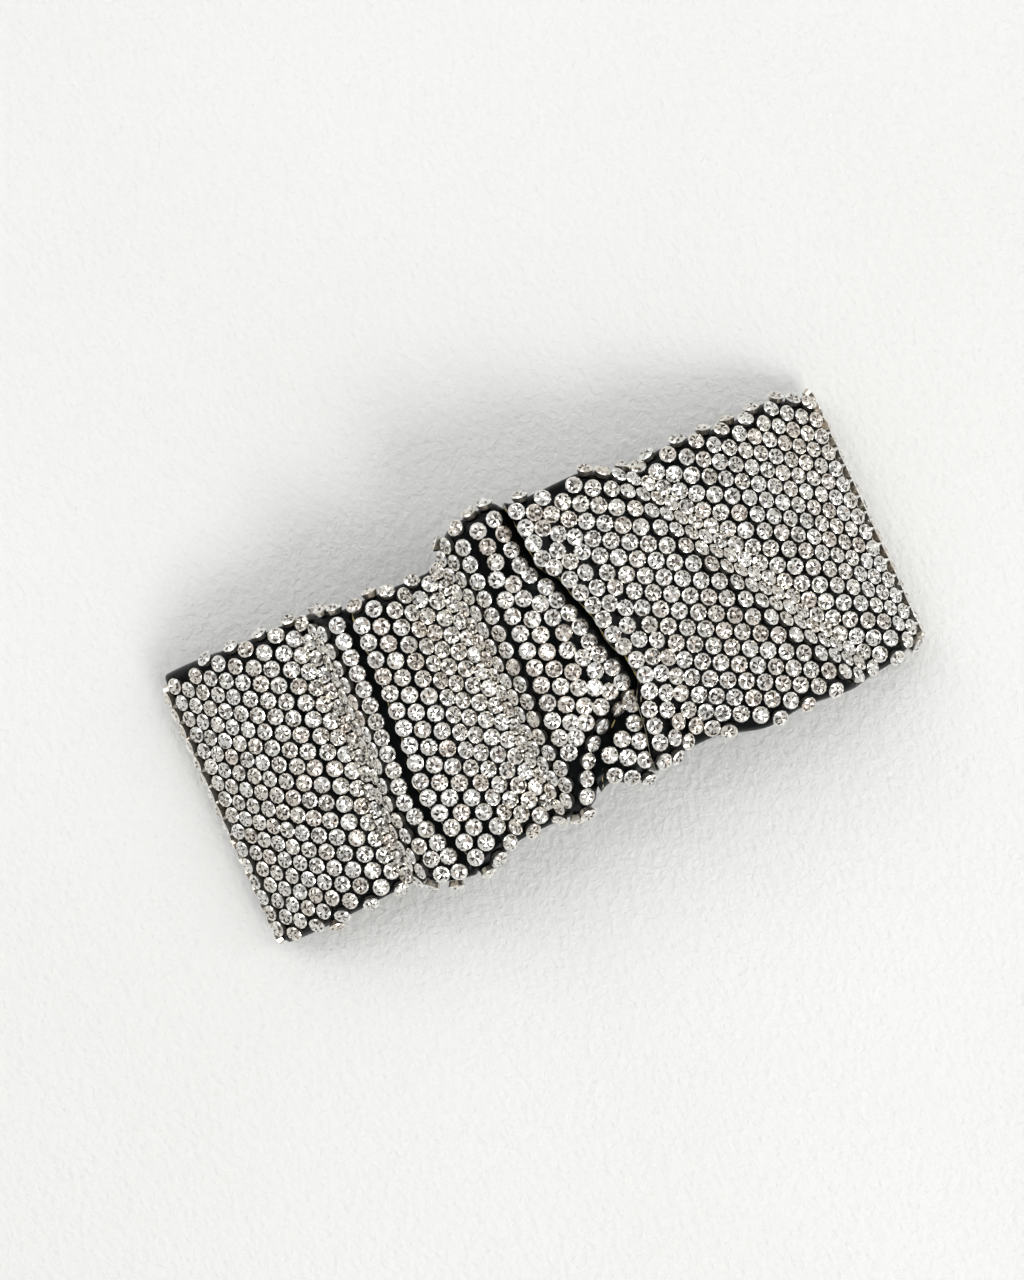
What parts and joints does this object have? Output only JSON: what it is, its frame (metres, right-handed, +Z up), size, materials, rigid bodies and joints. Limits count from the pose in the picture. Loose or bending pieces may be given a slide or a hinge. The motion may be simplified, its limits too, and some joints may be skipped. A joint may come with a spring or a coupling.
{
  "type": "rhinestone hair clip",
  "caption": "Arched hair clip covered in pleated sheets of clear rhinestones, with a sprung steel barrette clip and squeeze catch underneath.",
  "frame": {"origin": "under the middle of the outline, on the surface the clip stands on", "axes": "+X along the clip from the hinge end to the catch end, +Y towards the back long edge, +Z up through the stone face"},
  "size_m": [0.1119, 0.0511, 0.0248],
  "materials": {
    "felt": "short wool felt",
    "board": "pressed fibre board",
    "foam": "thin open foam",
    "film": "glossy black film",
    "crystal": "clear foil-backed crystal",
    "glue": "set clear glue",
    "steel": "nickel-plated strip",
    "spring_steel": "nickel-plated spring strip"
  },
  "bodies": {
    "clip_body": {"felt_back": "felt", "stiffener_board": "board", "foam_pad": "foam", "left_sheet": "film", "centre_sheet": "film", "right_sheet": "film", "small_pleat": "film", "left_stones": "crystal", "centre_stones": "crystal", "right_stones": "crystal", "pleat_stones": "crystal", "glue_bed": "glue", "barrette_plate": "steel", "tension_bar": "spring_steel", "hinge_pin": "steel", "catch_bracket": "spring_steel", "catch_rivet": "steel"},
    "locking_bar": {"locking_bar": "steel"},
    "catch_leg_front": {"catch_leg_front": "spring_steel"},
    "catch_leg_rear": {"catch_leg_rear": "spring_steel"}
  },
  "joints": [
    {"name": "bar_hinge", "type": "hinge", "parent": "clip_body", "child": "locking_bar", "pos_m": [-0.034, 0, 0.00413], "axis": [0, 1, 0], "range_deg": [0, 75]},
    {"name": "front_leg_squeeze", "type": "hinge", "parent": "clip_body", "child": "catch_leg_front", "pos_m": [0.034, -0.00176, 0.00469], "axis": [1, 0, 0], "range_deg": [0, 20], "stiffness_Nm_per_rad": 0.04},
    {"name": "rear_leg_squeeze", "type": "hinge", "parent": "clip_body", "child": "catch_leg_rear", "pos_m": [0.034, 0.00176, 0.00469], "axis": [-1, 0, 0], "range_deg": [0, 20], "stiffness_Nm_per_rad": 0.04}
  ]
}
